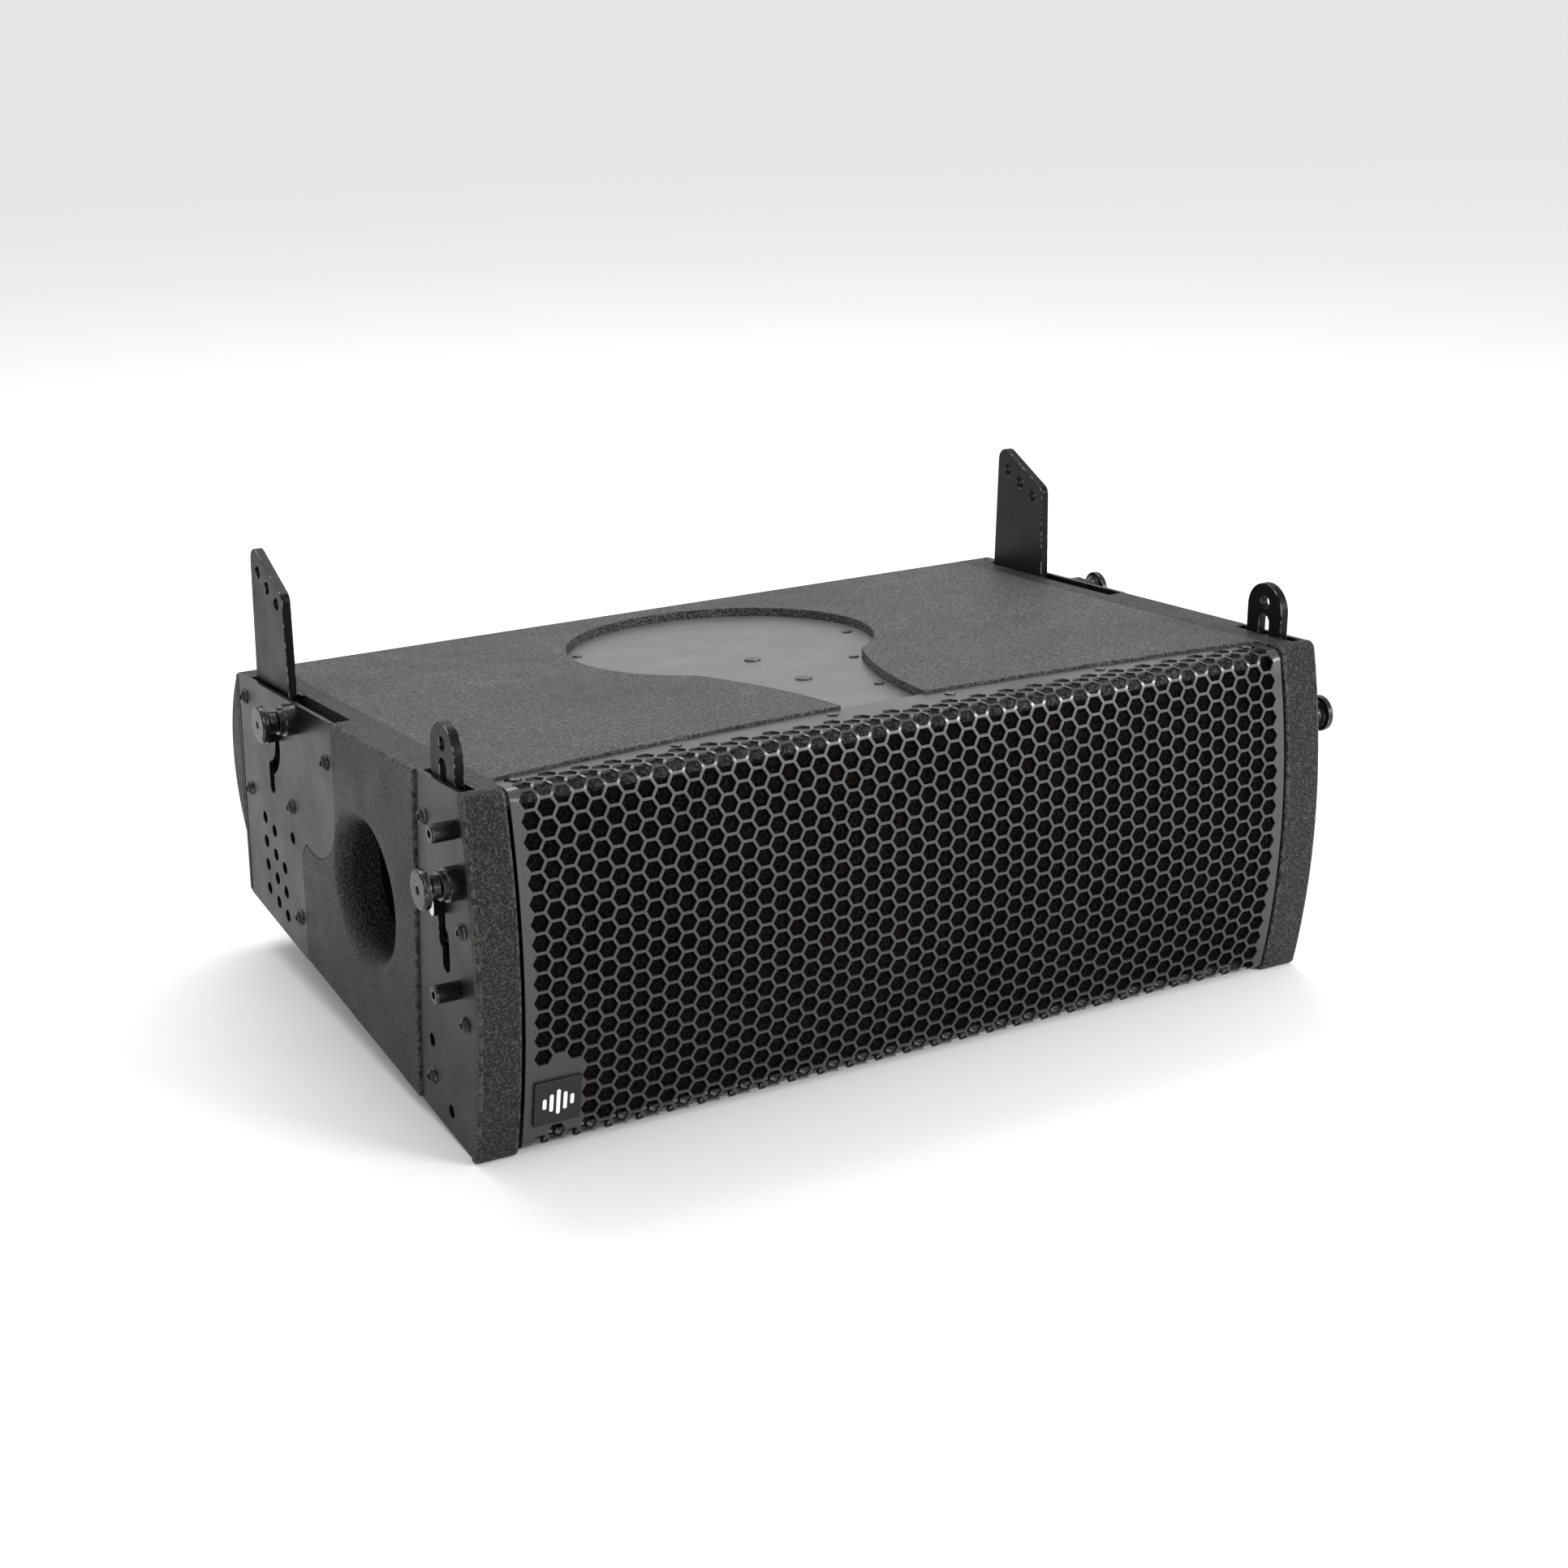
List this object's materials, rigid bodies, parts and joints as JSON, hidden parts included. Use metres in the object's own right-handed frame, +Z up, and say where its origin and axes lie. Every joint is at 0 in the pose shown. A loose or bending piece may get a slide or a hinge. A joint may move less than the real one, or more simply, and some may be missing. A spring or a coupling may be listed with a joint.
{
  "type": "line array speaker",
  "caption": "Wedge-shaped line array loudspeaker with a bowed perforated grille, side ports and rigging plates whose links rise, fold and pin to the next cabinet.",
  "frame": {"origin": "under the middle of the cabinet at its lowest edge, centred on the width and on the depth over the rear bumpers", "axes": "+X to the right as seen from the front, +Y to the rear, +Z up; the cabinet's mid-plane is horizontal, as it hangs with no splay"},
  "size_m": [0.6484, 0.42, 0.2863],
  "materials": {
    "coated_plywood": "coarse textured polyurea paint, charcoal",
    "baffle_plywood": "black painted plywood",
    "powder_coated_steel": "smooth satin powder coat, dark grey",
    "link_steel": "satin powder coat, dark grey, worn bright on the guide studs",
    "satin_steel": "smooth satin grey",
    "grille_steel": "satin powder coat, dark grey",
    "black_screws": "blackened, bright in the socket",
    "bare_steel": "turned",
    "knob_steel": "black, half gloss",
    "acoustic_foam": "open-cell foam",
    "badge_plastic": "black with white bars",
    "port_plastic": "moulded black",
    "driver_frame": "black paint on a pressed steel frame",
    "driver_magnet": "ferrite and zinc plate, black",
    "cone_paper": "coated paper, black",
    "surround_rubber": "matt",
    "waveguide_plastic": "moulded black",
    "circuit_board": "green board with wound parts",
    "socket_plastic": "moulded black"
  },
  "bodies": {
    "cabinet": {"side_panel_left": "coated_plywood", "side_panel_right": "coated_plywood", "top_panel": "coated_plywood", "bottom_panel": "coated_plywood", "rear_panel": "coated_plywood", "front_baffle": "baffle_plywood", "rear_bumper_left": "coated_plywood", "rear_bumper_right": "coated_plywood", "recess_plate": "satin_steel", "recess_screws": "black_screws", "front_grille": "grille_steel", "grille_foam": "acoustic_foam", "grille_screws": "black_screws", "grille_badge": "badge_plastic", "port_tube_left": "port_plastic", "port_tube_right": "port_plastic", "front_plate_left": "powder_coated_steel", "front_plate_right": "powder_coated_steel", "rear_plate_left": "powder_coated_steel", "rear_plate_right": "powder_coated_steel", "front_channel_plate_left": "powder_coated_steel", "front_channel_plate_right": "powder_coated_steel", "rear_channel_plate_left": "powder_coated_steel", "rear_channel_plate_right": "powder_coated_steel", "front_plate_screws_left": "black_screws", "front_plate_screws_right": "black_screws", "rear_plate_screws_left": "black_screws", "rear_plate_screws_right": "black_screws", "rear_pivot_pin_left": "bare_steel", "rear_pivot_pin_right": "bare_steel", "front_knob_housing_left": "knob_steel", "front_knob_housing_right": "knob_steel", "rear_knob_housing_left": "knob_steel", "rear_knob_housing_right": "knob_steel", "woofer_frame_left": "driver_frame", "woofer_frame_right": "driver_frame", "woofer_magnet_left": "driver_magnet", "woofer_magnet_right": "driver_magnet", "woofer_surround_left": "surround_rubber", "woofer_surround_right": "surround_rubber", "driver_screws": "black_screws", "waveguide": "waveguide_plastic", "compression_driver": "driver_magnet", "crossover_board": "circuit_board", "connector_plate": "powder_coated_steel", "speaker_sockets": "socket_plastic"},
    "front_link_left": {"front_link_left": "link_steel"},
    "rear_link_left": {"rear_link_left": "link_steel"},
    "front_knob_left": {"front_knob_left": "knob_steel"},
    "rear_knob_left": {"rear_knob_left": "knob_steel"},
    "upper_index_plunger_left": {"upper_index_plunger_left": "knob_steel"},
    "lower_index_plunger_left": {"lower_index_plunger_left": "knob_steel"},
    "woofer_cone_left": {"woofer_cone_left": "cone_paper"},
    "front_link_right": {"front_link_right": "link_steel"},
    "rear_link_right": {"rear_link_right": "link_steel"},
    "front_knob_right": {"front_knob_right": "knob_steel"},
    "rear_knob_right": {"rear_knob_right": "knob_steel"},
    "upper_index_plunger_right": {"upper_index_plunger_right": "knob_steel"},
    "lower_index_plunger_right": {"lower_index_plunger_right": "knob_steel"},
    "woofer_cone_right": {"woofer_cone_right": "cone_paper"}
  },
  "joints": [
    {"name": "front_link_slide_left", "type": "slide", "parent": "cabinet", "child": "front_link_left", "axis": [0, 0, 1], "range_m": [-0.034, 0]},
    {"name": "rear_link_fold_left", "type": "hinge", "parent": "cabinet", "child": "rear_link_left", "pos_m": [-0.291, 0.136, 0.16428], "axis": [1, 0, 0], "range_deg": [0, 90]},
    {"name": "front_knob_pull_left", "type": "slide", "parent": "cabinet", "child": "front_knob_left", "axis": [-1, 0, 0], "range_m": [0, 0.008], "stiffness_N_per_m": 1500, "springref_m": -0.004},
    {"name": "rear_knob_pull_left", "type": "slide", "parent": "cabinet", "child": "rear_knob_left", "axis": [-1, 0, 0], "range_m": [0, 0.008], "stiffness_N_per_m": 1500, "springref_m": -0.004},
    {"name": "upper_index_pull_left", "type": "slide", "parent": "cabinet", "child": "upper_index_plunger_left", "axis": [-1, 0, 0], "range_m": [0, 0.005], "stiffness_N_per_m": 1200, "springref_m": -0.003},
    {"name": "lower_index_pull_left", "type": "slide", "parent": "cabinet", "child": "lower_index_plunger_left", "axis": [-1, 0, 0], "range_m": [0, 0.005], "stiffness_N_per_m": 1200, "springref_m": -0.003},
    {"name": "woofer_cone_travel_left", "type": "slide", "parent": "cabinet", "child": "woofer_cone_left", "axis": [0, 1, 0], "range_m": [-0.004, 0.004], "stiffness_N_per_m": 3000},
    {"name": "front_link_slide_right", "type": "slide", "parent": "cabinet", "child": "front_link_right", "axis": [0, 0, 1], "range_m": [-0.034, 0]},
    {"name": "rear_link_fold_right", "type": "hinge", "parent": "cabinet", "child": "rear_link_right", "pos_m": [0.291, 0.136, 0.16428], "axis": [1, 0, 0], "range_deg": [0, 90]},
    {"name": "front_knob_pull_right", "type": "slide", "parent": "cabinet", "child": "front_knob_right", "axis": [1, 0, 0], "range_m": [0, 0.008], "stiffness_N_per_m": 1500, "springref_m": -0.004},
    {"name": "rear_knob_pull_right", "type": "slide", "parent": "cabinet", "child": "rear_knob_right", "axis": [1, 0, 0], "range_m": [0, 0.008], "stiffness_N_per_m": 1500, "springref_m": -0.004},
    {"name": "upper_index_pull_right", "type": "slide", "parent": "cabinet", "child": "upper_index_plunger_right", "axis": [1, 0, 0], "range_m": [0, 0.005], "stiffness_N_per_m": 1200, "springref_m": -0.003},
    {"name": "lower_index_pull_right", "type": "slide", "parent": "cabinet", "child": "lower_index_plunger_right", "axis": [1, 0, 0], "range_m": [0, 0.005], "stiffness_N_per_m": 1200, "springref_m": -0.003},
    {"name": "woofer_cone_travel_right", "type": "slide", "parent": "cabinet", "child": "woofer_cone_right", "axis": [0, 1, 0], "range_m": [-0.004, 0.004], "stiffness_N_per_m": 3000}
  ]
}
